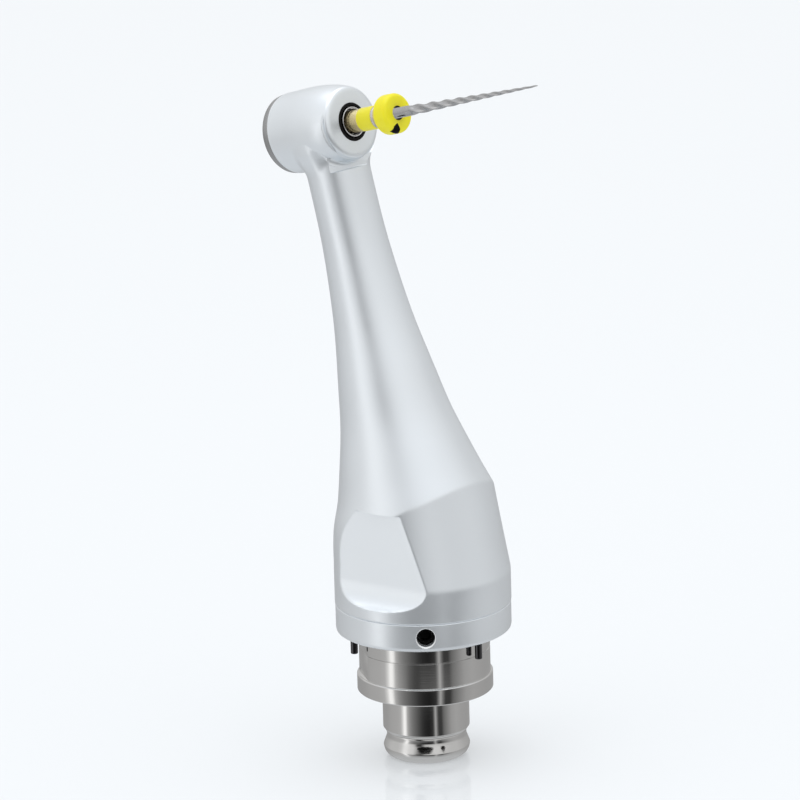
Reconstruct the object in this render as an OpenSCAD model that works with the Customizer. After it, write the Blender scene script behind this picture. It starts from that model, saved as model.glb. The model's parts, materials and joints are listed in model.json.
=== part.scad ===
/* [Stance] */
// Angle between the grip axis and the neck axis
bend = 15.8; // [15:0.1:16.6]
// Height of the point where the two axes cross
bend_z = 24.2; // [24:0.1:24.6]
// Distance along the neck from the bend to the head axis
head_t = 41.93; // [41.5:0.01:43]
// Distance of the head's front face in front of the neck axis
face_off = 3.57; // [3.5:0.01:3.6]

/* [Grip] */
// Radius of the collar ring under the grip
collar_r = 9.0; // [8.9:0.01:9.2]
// Radius of the grip above the collar
grip_r = 9.04; // [8.95:0.01:9.2]
// Height of the seam between the collar and the grip
seam_z = 16.47; // [16.2:0.01:16.8]
// Distance of the flat side finger grips from the grip axis
side_grip_d = 7.46; // [7.4:0.01:7.6]
// Direction of the side finger grips, measured from the file side
side_grip_az = 80; // [76:1:86]
// Tilt of the front finger grip towards the back
front_grip_tilt = 9.65; // [9:0.05:10.2]
// Radius of the front finger grip where it starts
front_grip_r = 8.96; // [8.9:0.01:9]
// Height where the front finger grip starts
front_grip_z = 19.8; // [19.4:0.1:20.2]

/* [Head] */
// Length of the head barrel, from the front face to the cap's back
head_len = 9.24; // [9.2:0.01:9.4]
// Height of the head cap ring
cap_h = 0.99; // [0.95:0.01:1.0]
// Depth of the relief notch behind the centre of the front face
relief_l = 0.85; // [0.8:0.01:0.95]
// Slant of the relief notch's wall about the neck axis
relief_turn = 20.6; // [18:0.1:22]
// Distance of the relief notch's ledge below the head axis
relief_h = 4.58; // [4.5:0.01:4.8]
// Push button travel
button_travel = 0.45; // [0.3:0.01:0.5]

/* [Coupling sleeve] */
// Radius of the sleeve's snap foot at its end
foot_r = 3.7; // [3.65:0.01:3.75]
// Radius of the pilot above the foot
pilot_r = 4.45; // [4.4:0.01:4.55]
// Radius of the flange
flange_r = 6.98; // [6.9:0.01:7.2]
// Radius of the upper sleeve
sleeve_r = 6.75; // [6.7:0.01:6.85]
// Radius of the circle of locating pins
pin_circle_r = 7.5; // [7.3:0.05:7.7]
// Radius of a locating pin
pin_r = 0.375; // [0.3:0.005:0.4]

/* [File] */
// Length of the file in front of the head's face
file_len = 26.24; // [24:0.01:30]
// Distance of the colour band in front of the head's face
band_l = 1.65; // [1.4:0.05:1.7]
// Distance of the depth stop in front of the head's face
stop_l = 4.8; // [4.8:0.1:9]
// Length of the depth stop
stop_len = 1.8; // [1.6:0.05:2]
// Radius of the depth stop
stop_r = 2.05; // [1.8:0.01:2.3]
// Radius of the blade next to the shank
blade_r = 0.54; // [0.5:0.01:0.55]
// Radius of the blade at its tip
tip_r = 0.13; // [0.1:0.01:0.2]

/* [Gears] */
// Teeth of each bend gear
bend_teeth = 14; // [14:14]
// Teeth of the neck pinion
pinion_teeth = 8; // [8:8]
// Teeth of the crown gear
crown_teeth = 16; // [16:16]

/* [Hidden] */

head_r = 4.15;
// base bearings
bb_r = 4.0; bb_in = 1.5; bb_h = 2.0; bb1 = 10.0; bb2 = 17.4;
// neck bearings: lower and upper
nl_r = 3.0; nl_in = 1.0; nl_t = 3.6; nl_h = 1.8;
nu_r = 2.2; nu_in = 0.75; nu_t = 35.0; nu_h = 1.3;
// head bearings
hb_r = 3.175; hb_in = 1.58; hf_l = -1.9; hf_h = 1.4; hr_l = -7.2; hr_h = 1.25;
// half of the bend: the pitch cones of the two bend gears lie on it
half = bend / 2;
pitch_p = 1.12;
crown_l = -face_off - pitch_p;

// ---------- frames ----------
module neck_frame() { translate([0, 0, bend_z]) rotate([0, -bend, 0]) children(); }
// +Z runs out of the front face, +X runs down the neck
module head_frame() { neck_frame() translate([face_off, 0, head_t]) rotate([0, 90, 0]) children(); }

// ---------- helpers ----------
function cr(p0, p1, p2, p3, u) = 0.5 * ((2 * p1) + (p2 - p0) * u
    + (2 * p0 - 5 * p1 + 4 * p2 - p3) * u * u + (3 * p1 - p0 - 3 * p2 + p3) * u * u * u);
function smooth(p, n) = [for (i = [0:len(p) - 2]) for (k = [0:n - 1])
    let (a = p[max(0, i - 1)], b = p[i], c = p[i + 1], d = p[min(len(p) - 1, i + 2)])
    cr(a, b, c, d, k / n)];
module tube(ro, ri, h) { difference() { cylinder(r = ro, h = h, $fn = 96);
    translate([0, 0, -1]) cylinder(r = ri, h = h + 2, $fn = 96); } }
// rings of points joined into one closed skin
module skin(rings) {
    n = len(rings[0]); m = len(rings);
    polyhedron(points = [for (r = rings) each r],
        faces = concat([[for (i = [0:n - 1]) i]],
            [for (j = [0:m - 2]) for (i = [0:n - 1]) [j * n + i, (j + 1) * n + i, (j + 1) * n + (i + 1) % n]],
            [for (j = [0:m - 2]) for (i = [0:n - 1]) [j * n + i, (j + 1) * n + (i + 1) % n, j * n + (i + 1) % n]],
            [[for (i = [n - 1:-1:0]) (m - 1) * n + i]]), convexity = 6);
}
// open coil spring along +Z from 0 to h
module coil(r, w, h, turns) {
    steps = round(turns * 18); n = 8;
    skin([for (j = [0:steps]) let (a = 360 * turns * j / steps, z = w + (h - 2 * w) * j / steps)
        [for (i = [0:n - 1]) let (q = -360 * i / n)
            [(r + w * cos(q)) * cos(a), (r + w * cos(q)) * sin(a), z + w * sin(q)]]]);
}
// ball bearing pieces along +Z from 0 to h
function ball_mid(ro, ri) = (ro + ri) / 2;
module ring_outer(ro, ri, h, br) {
    m = ball_mid(ro, ri); rotate_extrude($fn = 96) difference() {
        translate([m + br * 0.72, 0]) square([ro - m - br * 0.72, h]);
        translate([m, h / 2]) circle(r = br + 0.03, $fn = 48); }
}
module ring_inner(ro, ri, h, br) {
    m = ball_mid(ro, ri); rotate_extrude($fn = 96) difference() {
        translate([ri, 0]) square([m - br * 0.72 - ri, h]);
        translate([m, h / 2]) circle(r = br + 0.03, $fn = 48); }
}
module ball_set(ro, ri, h, br, n) {
    m = ball_mid(ro, ri); for (i = [0:n - 1]) rotate([0, 0, i * 360 / n])
        translate([m, 0, h / 2]) sphere(r = br, $fn = 32);
}
module cage(ro, ri, h, br, n) {
    m = ball_mid(ro, ri); difference() {
        translate([0, 0, h / 2 - br * 1.25]) tube(m + br * 0.3, m - br * 0.3, br * 2.5);
        for (i = [0:n - 1]) rotate([0, 0, i * 360 / n]) translate([m - br, 0, h / 2]) rotate([0, 90, 0])
            cylinder(r = br + 0.03, h = 2 * br, $fn = 32); }
}
// teeth of a bend gear, pointing up; the pitch cone's apex is the origin
module cone_teeth(n, r0, r1, w, up, down) {
    k = tan(20); for (i = [0:n - 1]) rotate([0, 0, i * 360 / n]) rotate([0, half, 0])
        translate([r0, 0, 0]) rotate([90, 0, 90]) linear_extrude(r1 - r0)
            polygon([[-w / 2 - down * k, -down - 0.25], [w / 2 + down * k, -down - 0.25], [w / 2 + down * k, -down],
                [w / 2 - up * k, up], [-w / 2 + up * k, up], [-w / 2 - down * k, -down]]);
}

// ---------- casing ----------
grip_line = [[8.3, bend_z + 1], [8.75, bend_z], [8.9, 23], [8.99, 21.8], [grip_r, 20.4], [grip_r, seam_z + 0.06], [grip_r - 0.06, seam_z]];
neck_line = smooth([[8.74, -2], [8.79, 0], [8.5, 1.8], [7.6, 4.8], [6.75, 7.8], [5.84, 11.3], [5.03, 15.8],
    [4.2, 20.8], [3.65, 25.8], [3.3, 30.8], [3.25, 36], [3.25, 41]], 4);
barrel_line = [[0, 0], [3.0, 0], [3.28, -0.04], [3.5, -0.12], [3.65, -0.25], [3.72, -0.4],
    [3.86, -0.9], [4.0, -1.5], [4.1, -2.1], [4.2, -3], [4.25, -4], [4.25, -5], [4.22, -6], [4.18, -7.2],
    [head_r, -(head_len - cap_h)], [0, -(head_len - cap_h)]];

module front_grip_cut() {
    intersection() {
        translate([0, 0, front_grip_z]) linear_extrude(14)
            polygon(concat([[0, 0]], [for (a = [-75:15:75]) [30 * cos(a), 30 * sin(a)]]));
        translate([0, 0, front_grip_z]) rotate([0, -front_grip_tilt, 0]) difference() {
            translate([0, 0, -6]) cylinder(r = 18, h = 24, $fn = 96);
            translate([0, 0, -7]) cylinder(r1 = front_grip_r + 7 * 0.062, r2 = front_grip_r - 19 * 0.062, h = 26, $fn = 96);
        }
    }
}
module side_grip_cut() {
    translate([side_grip_d, 0, 24]) rotate([0, 1.83, 0]) union() {
        translate([0, -8, -3.9]) cube([5, 16, 7.4]);
        translate([2.55, 0, -3.9]) rotate([90, 0, 0]) cylinder(r = 2.55, h = 16, center = true, $fn = 96);
    }
}
module body_shell() {
    color([0.78, 0.81, 0.82]) difference() {
        union() {
            rotate_extrude($fn = 96) polygon(concat([[0, seam_z], [0, bend_z + 1]], grip_line));
            neck_frame() difference() {
                rotate_extrude($fn = 96) polygon(concat([[0, -2]], neck_line, [[3.25, 41], [0, 41]]));
                // the notch that frees the front of the head from the neck
                translate([face_off, 0, head_t - relief_h]) rotate([0, 0, -relief_turn]) translate([-relief_l, -8, 0]) cube([7, 16, 6]);
            }
            head_frame() rotate_extrude($fn = 96) polygon(barrel_line);
        }
        front_grip_cut();
        for (s = [-1, 1]) rotate([0, 0, s * side_grip_az]) side_grip_cut();
        // bores
        translate([0, 0, seam_z - 1]) cylinder(r = 6.2, h = 20.4 - seam_z + 1, $fn = 96);
        translate([0, 0, 20]) cylinder(r = 5.3, h = bend_z - 19, $fn = 96);
        neck_frame() translate([0, 0, -1.5]) cylinder(r = 5, h = 10.5, $fn = 96);
        neck_frame() translate([0, 0, 8]) cylinder(r = nu_r, h = nu_t + nu_h - 8, $fn = 96);
        neck_frame() translate([0, 0, 30]) cylinder(r = 1.5, h = 6.7, $fn = 96);
        neck_frame() translate([0, 0, 30]) cylinder(r = 1, h = 10, $fn = 96);
        head_frame() rotate_extrude($fn = 96) polygon([[0, 1], [1.96, 1], [1.96, -0.5], [hb_r, -0.5],
            [hb_r, -7.45], [3.5, -7.45], [3.5, -9], [0, -9]]);
    }
}
module head_cap() {
    b = -head_len; s = -(head_len - cap_h);
    color([0.5, 0.52, 0.54]) head_frame() rotate_extrude($fn = 96) polygon([[3.5, -7.5], [3.5, s], [4.04, s], [4.1, s - 0.06],
        [4.08, s - 0.5], [4.0, b + 0.22], [3.9, b + 0.07], [3.72, b], [2.98, b], [2.9, b + 0.08], [2.9, -8.6], [3.25, -8.6], [3.25, -7.5]]);
}
module collar_ring() {
    color([0.75, 0.78, 0.79]) difference() {
        rotate_extrude($fn = 96) polygon([[sleeve_r, 13.54], [collar_r - 0.32, 13.54], [collar_r - 0.14, 13.6], [collar_r - 0.03, 13.74],
            [collar_r, 13.95], [collar_r, seam_z - 0.06], [collar_r - 0.06, seam_z], [sleeve_r, seam_z]]);
        for (i = [0:2]) rotate([0, 0, i * 120]) translate([pin_circle_r, 0, 13]) cylinder(r = pin_r, h = 2, $fn = 32);
        rotate([0, 0, -46]) translate([6, 0, 15.06]) rotate([0, 90, 0]) cylinder(r = 0.95, h = 4, $fn = 48);
    }
}
module collar_screw() {
    color([0.05, 0.05, 0.05]) rotate([0, 0, -46]) translate([6.8, 0, 15.06]) rotate([0, 90, 0]) difference() {
        cylinder(r = 0.93, h = 1.35, $fn = 48);
        translate([0, 0, 0.5]) rotate([0, 0, 15]) cylinder(r = 0.5, h = 1, $fn = 6);
    }
}
module locating_pins() {
    color([0.2, 0.2, 0.2]) for (i = [0:2]) rotate([0, 0, i * 120]) translate([pin_circle_r, 0, 0])
        rotate_extrude($fn = 32) polygon([[0, 11.55], [pin_r - 0.1, 11.55], [pin_r, 11.65], [pin_r, 15], [0, 15]]);
}
module coupling_sleeve() {
    color([0.7, 0.7, 0.7]) difference() {
        rotate_extrude($fn = 96) polygon(concat(
        [[3.3, 0.12], [3.38, 0], [foot_r - 0.08, 0]],
        smooth([[foot_r, 0.04], [3.92, 0.16], [4.14, 0.34], [4.32, 0.62], [4.41, 0.9], [4.44, 1.12], [4.4, 1.26],
            [4.26, 1.64], [4.13, 2.0], [4.09, 2.28]], 2),
        [[4.12, 2.56], [pilot_r - 0.12, 2.94], [pilot_r, 3.08], [pilot_r, 7.12],
        [flange_r - 0.1, 7.12], [flange_r, 7.22], [flange_r, 8.83], [flange_r - 0.1, 8.93], [sleeve_r, 8.93],
        [sleeve_r, 11.53], [sleeve_r - 0.08, 11.57], [sleeve_r - 0.08, 11.61], [sleeve_r, 11.65], [sleeve_r, seam_z],
        [6.2, seam_z], [6.2, 20.3], [bb_r, 20.3], [bb_r, bb1], [2.8, bb1], [2.8, 3.9], [3.3, 3.9]]));
        // two flats that index the sleeve
        for (s = [0, 180]) rotate([0, 0, s - 124]) translate([sleeve_r - 0.3, -3, 8.93]) cube([2, 6, 4.72]);
    }
}
module neck_bush() {
    color([0.72, 0.6, 0.35]) neck_frame() rotate_extrude($fn = 96)
        polygon([[nl_r, 2.6], [4.9, 2.6], [5, 2.7], [5, 8.9], [4.9, 9], [2.4, 9], [2.4, nl_t + nl_h], [nl_r, nl_t + nl_h]]);
}
module bush_clip() { color([0.3, 0.3, 0.32]) neck_frame() translate([0, 0, 3.2]) tube(nl_r, 2.4, 0.4); }
module neck_retainer() { color([0.6, 0.6, 0.62]) neck_frame() translate([0, 0, nu_t - 0.7]) tube(nu_r, 1.5, 0.7); }

// ---------- fixed bearing pieces ----------
module base_bearing_rings() {
    color([0.62, 0.62, 0.65]) for (z = [bb1, bb2]) translate([0, 0, z]) ring_outer(bb_r, bb_in, bb_h, 0.6);
}
module bearing_spacer() { color([0.7, 0.7, 0.7]) translate([0, 0, bb1 + bb_h]) tube(bb_r, 3.4, bb2 - bb1 - bb_h); }
module sleeve_nut() { color([0.45, 0.45, 0.47]) translate([0, 0, bb2 + bb_h]) tube(bb_r, 3.0, 0.9); }
module neck_bearing_rings() {
    color([0.62, 0.62, 0.65]) neck_frame() {
        translate([0, 0, nl_t]) ring_outer(nl_r, nl_in, nl_h, 0.5);
        translate([0, 0, nu_t]) ring_outer(nu_r, nu_in, nu_h, 0.36);
    }
}
module head_bearing_rings() {
    color([0.62, 0.62, 0.65]) head_frame() {
        translate([0, 0, hf_l]) ring_outer(hb_r, hb_in, hf_h, 0.36);
        translate([0, 0, hr_l]) ring_outer(hb_r, hb_in, hr_h, 0.36);
    }
}
module head_seal() {
    color([0.04, 0.04, 0.04]) head_frame() rotate_extrude($fn = 96)
        polygon([[1.64, -0.42], [1.96, -0.42], [1.96, 0.02], [1.9, 0.06], [1.7, 0.06], [1.64, 0]]);
}
module preload_washer() { color([0.5, 0.5, 0.5]) head_frame() translate([0, 0, -7.35]) tube(3.15, 2.62, 0.14); }
module button_spring() { color([0.55, 0.55, 0.58]) head_frame() translate([0, 0, -8.24]) coil(2.92, 0.1, 0.88, 2.5); }
module push_button() {
    color([0.6, 0.62, 0.64]) head_frame() rotate_extrude($fn = 96) polygon([[0, -9.62], [1.2, -9.58], [2.1, -9.48],
        [2.6, -9.36], [2.8, -9.24], [2.85, -9.1], [2.85, -8.57], [3.2, -8.57], [3.2, -8.25], [2.6, -8.25], [2.6, -8.8], [0, -8.8]]);
}

// ---------- base drive ----------
module base_shaft() {
    color([0.66, 0.66, 0.68]) difference() {
        rotate_extrude($fn = 64) polygon([[0, 6.96], [1.1, 6.96], [1.2, 7.06], [1.2, 9.25], [bb_in, 9.25], [bb_in, bb1 + bb_h],
            [1.9, bb1 + bb_h], [1.9, bb1 + bb_h + 0.5], [bb_in, bb1 + bb_h + 0.6], [bb_in, bend_z - 1], [0, bend_z - 1]]);
        translate([0, 0, 7.5]) rotate([90, 0, 0]) cylinder(r = 0.35, h = 6, center = true, $fn = 32);
    }
}
module drive_pin() { color([0.4, 0.4, 0.42]) translate([0, 0, 7.5]) rotate([90, 0, 0]) cylinder(r = 0.35, h = 4.6, center = true, $fn = 32); }
module spring_clip() { color([0.3, 0.3, 0.32]) translate([0, 0, 9.65]) tube(2.4, bb_in, 0.3); }
module clutch_spring() { color([0.55, 0.55, 0.58]) translate([0, 0, 8.05]) coil(2.05, 0.13, 1.58, 2.5); }
module coupling_dog() {
    color([0.5, 0.5, 0.52]) difference() {
        rotate_extrude($fn = 64) polygon([[0, 4.9], [2.35, 4.9], [2.6, 5.15], [2.6, 7.85], [2.45, 8], [1.24, 8], [1.24, 5.9], [0, 5.9]]);
        translate([-0.4, -4, 5.9]) cube([0.8, 8, 3]);
        translate([-4, -0.5, 4]) cube([8, 1, 1.7]);
    }
}
module base_gear() {
    color([0.75, 0.66, 0.4]) difference() {
        translate([0, 0, bend_z]) union() {
            rotate_extrude($fn = 64) polygon([[0, -2.5], [2.9, -2.5], [3.1, -2.3], [3.1, -3.1 * tan(half) - 0.4],
                [1.2, -1.2 * tan(half) - 0.4], [0, -1.2 * tan(half) - 0.4]]);
            cone_teeth(bend_teeth, 2.1, 3.08, 0.4, 0.28, 0.4);
        }
        cylinder(r = bb_in, h = 40, $fn = 64);
    }
}
module base_bearing_races() {
    color([0.62, 0.62, 0.65]) for (z = [bb1, bb2]) translate([0, 0, z]) ring_inner(bb_r, bb_in, bb_h, 0.6);
}
module base_balls() { color([0.8, 0.8, 0.82]) for (z = [bb1, bb2]) translate([0, 0, z]) ball_set(bb_r, bb_in, bb_h, 0.6, 8); }
module base_cages() { color([0.75, 0.6, 0.3]) for (z = [bb1, bb2]) translate([0, 0, z]) cage(bb_r, bb_in, bb_h, 0.6, 8); }

// ---------- neck drive ----------
module neck_shaft() {
    color([0.66, 0.66, 0.68]) neck_frame() rotate_extrude($fn = 64)
        polygon([[0, 0.95], [nl_in, 0.95], [nl_in, 9.4], [0.75, 9.8], [0.75, 39.9], [0, 39.9]]);
}
module neck_gear() {
    color([0.75, 0.66, 0.4]) neck_frame() difference() {
        union() {
            rotate_extrude($fn = 64) polygon([[0, 2.3], [2.9, 2.3], [3.1, 2.1], [3.1, 3.1 * tan(half) + 0.4],
                [1.2, 1.2 * tan(half) + 0.4], [0, 1.2 * tan(half) + 0.4]]);
            mirror([0, 0, 1]) rotate([0, 0, 180 / bend_teeth]) cone_teeth(bend_teeth, 2.1, 3.08, 0.4, 0.28, 0.4);
        }
        translate([0, 0, -5]) cylinder(r = nl_in, h = 20, $fn = 64);
    }
}
module neck_pinion() {
    n = pinion_teeth; w = 0.35; k = tan(20);
    color([0.75, 0.66, 0.4]) neck_frame() translate([0, 0, 39.35]) difference() {
        union() {
            cylinder(r = pitch_p - 0.3, h = 0.55, $fn = 48);
            for (i = [0:n - 1]) rotate([0, 0, (i + 0.5) * 360 / n]) linear_extrude(0.55)
                polygon([[0.6, -w / 2 - 0.09], [pitch_p - 0.3, -w / 2 - 0.07], [pitch_p, -w / 2], [pitch_p + 0.22, -w / 2 + 0.24 * k],
                    [pitch_p + 0.22, w / 2 - 0.24 * k], [pitch_p, w / 2], [pitch_p - 0.3, w / 2 + 0.07], [0.6, w / 2 + 0.09]]);
        }
        translate([0, 0, -1]) cylinder(r = 0.75, h = 3, $fn = 48);
    }
}
module neck_bearing_races() {
    color([0.62, 0.62, 0.65]) neck_frame() {
        translate([0, 0, nl_t]) ring_inner(nl_r, nl_in, nl_h, 0.5);
        translate([0, 0, nu_t]) ring_inner(nu_r, nu_in, nu_h, 0.36);
    }
}
module neck_balls() {
    color([0.8, 0.8, 0.82]) neck_frame() {
        translate([0, 0, nl_t]) ball_set(nl_r, nl_in, nl_h, 0.5, 7);
        translate([0, 0, nu_t]) ball_set(nu_r, nu_in, nu_h, 0.36, 7);
    }
}
module neck_cages() {
    color([0.75, 0.6, 0.3]) neck_frame() {
        translate([0, 0, nl_t]) cage(nl_r, nl_in, nl_h, 0.5, 7);
        translate([0, 0, nu_t]) cage(nu_r, nu_in, nu_h, 0.36, 7);
    }
}

// ---------- head spindle ----------
module chuck_spindle() {
    color([0.72, 0.72, 0.74]) head_frame() union() {
        rotate_extrude($fn = 96) polygon([[1.2, -7.3], [hb_in, -7.3], [hb_in, -0.35], [1.53, -0.3], [1.53, 0.12],
            [1.5, 0.16], [1.45, 0.16], [1.42, 0.12], [1.42, -0.9], [1.2, -1.1]]);
        difference() {
            translate([0, 0, -6.9]) cylinder(r = 1.3, h = 0.55, $fn = 64);
            translate([-0.64, -2, -7]) cube([4, 4, 1]);
        }
    }
}
module crown_gear() {
    n = crown_teeth; w = 0.34; k = tan(20); up = 0.26; down = 0.36;
    color([0.75, 0.66, 0.4]) head_frame() translate([0, 0, crown_l]) union() {
        translate([0, 0, -1.15]) tube(2.62, hb_in, 1.15 - down);
        for (i = [0:n - 1]) rotate([0, 0, i * 360 / n]) translate([1.95, 0, 0]) rotate([90, 0, 90]) linear_extrude(0.65)
            polygon([[-w / 2 - down * k, -down - 0.2], [w / 2 + down * k, -down - 0.2], [w / 2 + down * k, -down],
                [w / 2 - up * k, up], [-w / 2 + up * k, up], [-w / 2 - down * k, -down]]);
    }
}
module head_bearing_races() {
    color([0.62, 0.62, 0.65]) head_frame() {
        translate([0, 0, hf_l]) ring_inner(hb_r, hb_in, hf_h, 0.36);
        translate([0, 0, hr_l]) ring_inner(hb_r, hb_in, hr_h, 0.36);
    }
}
module head_balls() {
    color([0.8, 0.8, 0.82]) head_frame() {
        translate([0, 0, hf_l]) ball_set(hb_r, hb_in, hf_h, 0.36, 9);
        translate([0, 0, hr_l]) ball_set(hb_r, hb_in, hr_h, 0.36, 9);
    }
}
module head_cages() {
    color([0.75, 0.6, 0.3]) head_frame() {
        translate([0, 0, hf_l]) cage(hb_r, hb_in, hf_h, 0.36, 9);
        translate([0, 0, hr_l]) cage(hb_r, hb_in, hr_h, 0.36, 9);
    }
}
module latch_holder() {
    color([0.5, 0.5, 0.52]) head_frame() difference() {
        translate([0, 0, -8]) tube(2.2, 1.25, 0.7);
        translate([-3, -1.45, -7.72]) cube([6, 2.9, 0.34]);
    }
}
module latch_plate() {
    color([0.42, 0.42, 0.45]) head_frame() difference() {
        translate([-1.45, -1.4, -7.7]) cube([3.5, 2.8, 0.3]);
        translate([0.3, 0, -8]) cylinder(r = 1.22, h = 1, $fn = 64);
    }
}

// ---------- file ----------
module file_shank() {
    color([0.75, 0.63, 0.35]) head_frame() difference() {
        rotate_extrude($fn = 96) polygon([[0, -7.9], [1.0, -7.9], [1.1, -7.8], [1.175, -7.78], [1.175, -7.75], [0.8, -7.75], [0.8, -7.35],
            [1.175, -7.35], [1.175, band_l], [1.1, band_l], [1.1, band_l + 2], [1.175, band_l + 2], [1.175, band_l + 2.1],
            [1.1, band_l + 2.1], [1.1, band_l + 2.35], [1.175, band_l + 2.35], [1.175, band_l + 2.5],
            [0.95, band_l + 2.72], [0.56, band_l + 2.72], [0.56, 1.0], [0, 1.0]]);
        translate([-3, -3, -8.5]) cube([2.4, 6, 2.3]);
    }
}
module file_band() { color([0.9, 0.88, 0.15]) head_frame() translate([0, 0, band_l]) tube(1.19, 1.1, 2); }
module file_ring() { color([0.85, 0.85, 0.82]) head_frame() translate([0, 0, band_l + 2.1]) tube(1.2, 1.1, 0.25); }
function blade_rad(l) = l < 8.4 ? blade_r : tip_r + (blade_r - tip_r) * (file_len - 0.2 - l) / (file_len - 8.6);
function blade_turn(l) = 69 + 53.6 * max(0, l - 8.6) + 1.1 * pow(max(0, l - 8.6), 2);
module file_blade() {
    n = 15; st = concat([1.02, 4, 7.6, 8.4], [for (l = [8.9:0.35:file_len - 0.45]) l], [file_len - 0.2]);
    color([0.62, 0.63, 0.66]) head_frame() skin(concat([for (l = st) let (r = blade_rad(l), c = l < 8.4 ? 0 : 0.14 * min(1, (l - 8.4) / 1.5))
        [for (i = [0:n - 1]) let (q = -360 * i / n, s = r * (1 - c + c * cos(3 * q)), w = q + blade_turn(l)) [s * cos(w), s * sin(w), l]]],
        [[for (i = [0:n - 1]) let (q = -360 * i / n) [0.03 * cos(q), 0.03 * sin(q), file_len]]]));
}
module stop_turned() {
    rotate_extrude($fn = 96) union() {
        translate([0.64, 0]) square([stop_r - 0.64 - 0.45, stop_len]);
        translate([stop_r - 0.46, 0.45]) square([0.46, stop_len - 0.9]);
        for (z = [0.45, stop_len - 0.45]) translate([stop_r - 0.45, z]) circle(r = 0.45, $fn = 32);
    }
}
// a wedge let into the stop's front; its edge points at the blade
module wedge(tip, w, d) { rotate([0, 0, -25]) translate([0, 0, stop_len - d]) linear_extrude(1) polygon([[tip, 0], [1.5, -0.72 * w], [2.3, -w], [2.3, w], [1.5, 0.72 * w]]); }
module file_stop() {
    color([0.92, 0.88, 0.12]) head_frame() translate([0, 0, stop_l]) difference() { stop_turned(); wedge(1.02, 0.58, 0.5); }
}
module stop_mark() {
    color([0.05, 0.05, 0.04]) head_frame() translate([0, 0, stop_l]) intersection() { stop_turned(); wedge(1.06, 0.55, 0.48); }
}

body_shell();
head_cap();
coupling_sleeve();
collar_ring();
collar_screw();
locating_pins();
neck_bush();
bush_clip();
neck_retainer();
base_bearing_rings();
bearing_spacer();
sleeve_nut();
neck_bearing_rings();
head_bearing_rings();
head_seal();
preload_washer();
button_spring();
push_button();
base_shaft();
base_gear();
base_bearing_races();
drive_pin();
spring_clip();
clutch_spring();
coupling_dog();
base_balls();
base_cages();
neck_shaft();
neck_gear();
neck_pinion();
neck_bearing_races();
neck_balls();
neck_cages();
chuck_spindle();
crown_gear();
head_bearing_races();
latch_holder();
latch_plate();
head_balls();
head_cages();
file_shank();
file_band();
file_ring();
file_blade();
file_stop();
stop_mark();
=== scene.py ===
import json
import math

import bpy
import numpy as np
from mathutils import Matrix, Vector


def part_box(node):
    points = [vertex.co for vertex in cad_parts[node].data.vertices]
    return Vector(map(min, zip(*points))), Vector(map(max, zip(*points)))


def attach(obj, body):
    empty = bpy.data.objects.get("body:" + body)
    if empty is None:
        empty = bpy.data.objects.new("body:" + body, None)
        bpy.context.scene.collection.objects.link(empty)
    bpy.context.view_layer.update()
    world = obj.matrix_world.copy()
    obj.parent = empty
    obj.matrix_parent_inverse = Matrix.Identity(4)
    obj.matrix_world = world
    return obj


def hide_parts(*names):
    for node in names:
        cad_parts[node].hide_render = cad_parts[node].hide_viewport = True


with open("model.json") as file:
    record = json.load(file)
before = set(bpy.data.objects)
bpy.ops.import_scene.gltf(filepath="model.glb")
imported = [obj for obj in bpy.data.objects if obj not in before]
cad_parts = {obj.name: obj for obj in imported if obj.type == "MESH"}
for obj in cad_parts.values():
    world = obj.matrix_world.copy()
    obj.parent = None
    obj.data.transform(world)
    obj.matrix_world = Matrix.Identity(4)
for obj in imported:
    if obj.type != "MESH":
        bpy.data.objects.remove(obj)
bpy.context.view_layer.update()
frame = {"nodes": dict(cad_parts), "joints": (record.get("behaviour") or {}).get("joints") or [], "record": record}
MM = 0.001

# ------------------------------------------------------------------
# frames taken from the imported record: base axis, neck axis, head axis
# ------------------------------------------------------------------
joints = {j["name"]: j for j in frame["joints"]}


def unit(v):
    v = np.array(v, float)
    return v / np.linalg.norm(v)


N = unit(joints["neck_spin"]["axis"])            # up the neck
A = unit(joints["spindle_spin"]["axis"])         # out of the head, along the file
H = np.array(joints["spindle_spin"]["pos_m"], float) / MM   # head axis meets neck axis
H = H - A * 0.0
X, Y, Z = np.eye(3)
# where the neck axis leaves the base axis
_p = np.array(joints["neck_spin"]["pos_m"], float) / MM
B = _p - N * (_p[0] / N[0])
T_HEAD = float((H - B) @ N)
FACE = 3.57                                       # neck axis to the front face, along the head axis
F0 = H + A * FACE
BEND = math.asin(A[2])


def nbox(node):
    lo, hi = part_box(node)
    return np.array(lo) / MM, np.array(hi) / MM


SEAM = float(nbox("collar_ring")[1][2])           # collar's upper edge
COL_LO = float(nbox("collar_ring")[0][2])
COL_R = float(nbox("collar_ring")[1][0])
PIN_LO = float(nbox("locating_pins")[0][2])


# ------------------------------------------------------------------
# small mesh helpers, millimetres in, metres out
# ------------------------------------------------------------------
def spline(pts, step=0.05):
    """A natural cubic through (x, y) points, as dense samples."""
    p = np.array(pts, float)
    x, y = p[:, 0], p[:, 1]
    n = len(x)
    h = np.diff(x)
    m = np.zeros((n, n))
    r = np.zeros(n)
    m[0, 0] = m[-1, -1] = 1
    for i in range(1, n - 1):
        m[i, i - 1], m[i, i], m[i, i + 1] = h[i - 1], 2 * (h[i - 1] + h[i]), h[i]
        r[i] = 3 * ((y[i + 1] - y[i]) / h[i] - (y[i] - y[i - 1]) / h[i - 1])
    c = np.linalg.solve(m, r)
    b = (y[1:] - y[:-1]) / h - h * (2 * c[:-1] + c[1:]) / 3
    d = (c[1:] - c[:-1]) / (3 * h)
    xs = np.arange(x[0], x[-1] + step / 2, step)
    i = np.clip(np.searchsorted(x, xs, side="right") - 1, 0, n - 2)
    t = xs - x[i]
    return xs, y[i] + b[i] * t + c[i] * t * t + d[i] * t ** 3


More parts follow.
